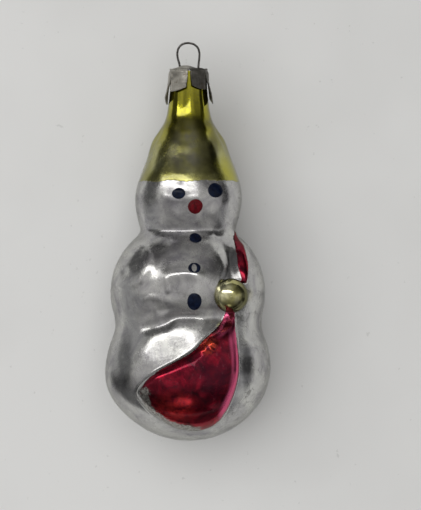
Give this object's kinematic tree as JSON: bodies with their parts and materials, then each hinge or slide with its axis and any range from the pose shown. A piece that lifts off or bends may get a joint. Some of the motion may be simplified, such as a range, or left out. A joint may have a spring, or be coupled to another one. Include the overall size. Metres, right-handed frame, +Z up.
{
  "type": "glass snowman ornament",
  "caption": "Hanging snowman ornament of silvered blown glass with lacquered hat, sack and mitten, a tin crown cap and a wire hanger.",
  "frame": {"origin": "the point inside the top of the wire loop that a hook bears on", "axes": "+Z up along the neck and the ornament's long axis, as it hangs; the face looks towards -Y; +X is to the right of someone who looks at the face"},
  "size_m": [0.0418, 0.0439, 0.102],
  "materials": {
    "glass": "clear blown glass, glossy",
    "silvering": "aged chemical mirror, slightly mottled",
    "yellow_lacquer": "translucent yellow lacquer over silver, glossy",
    "red_lacquer": "translucent crimson lacquer over silver, glossy, worn at the edges",
    "gold_lacquer": "translucent gold lacquer over silver, glossy",
    "navy_enamel": "thick navy enamel, glossy",
    "red_enamel": "thick dark red enamel, glossy",
    "tin": "thin stamped tin, dull and aged",
    "steel_wire": "dark drawn steel wire"
  },
  "bodies": {
    "glass": {"glass_shell": "glass", "silver_film": "silvering", "hat_lacquer": "yellow_lacquer", "sack_lacquer": "red_lacquer", "sack_mouth_lacquer": "red_lacquer", "mitten_lacquer": "gold_lacquer", "left_eye": "navy_enamel", "right_eye": "navy_enamel", "nose": "red_enamel", "button_top": "navy_enamel", "button_middle": "navy_enamel", "button_bottom": "navy_enamel"},
    "cap": {"cap": "tin"},
    "hanger": {"hanger_wire": "steel_wire"}
  },
  "joints": [
    {"name": "cap_turn", "type": "hinge", "parent": "glass", "child": "cap", "pos_m": [0, 0, -0.0095], "axis": [0, 0, 1], "continuous": true},
    {"name": "hanger_pull", "type": "slide", "parent": "cap", "child": "hanger", "axis": [0, 0, 1], "range_m": [0, 0.015]}
  ]
}
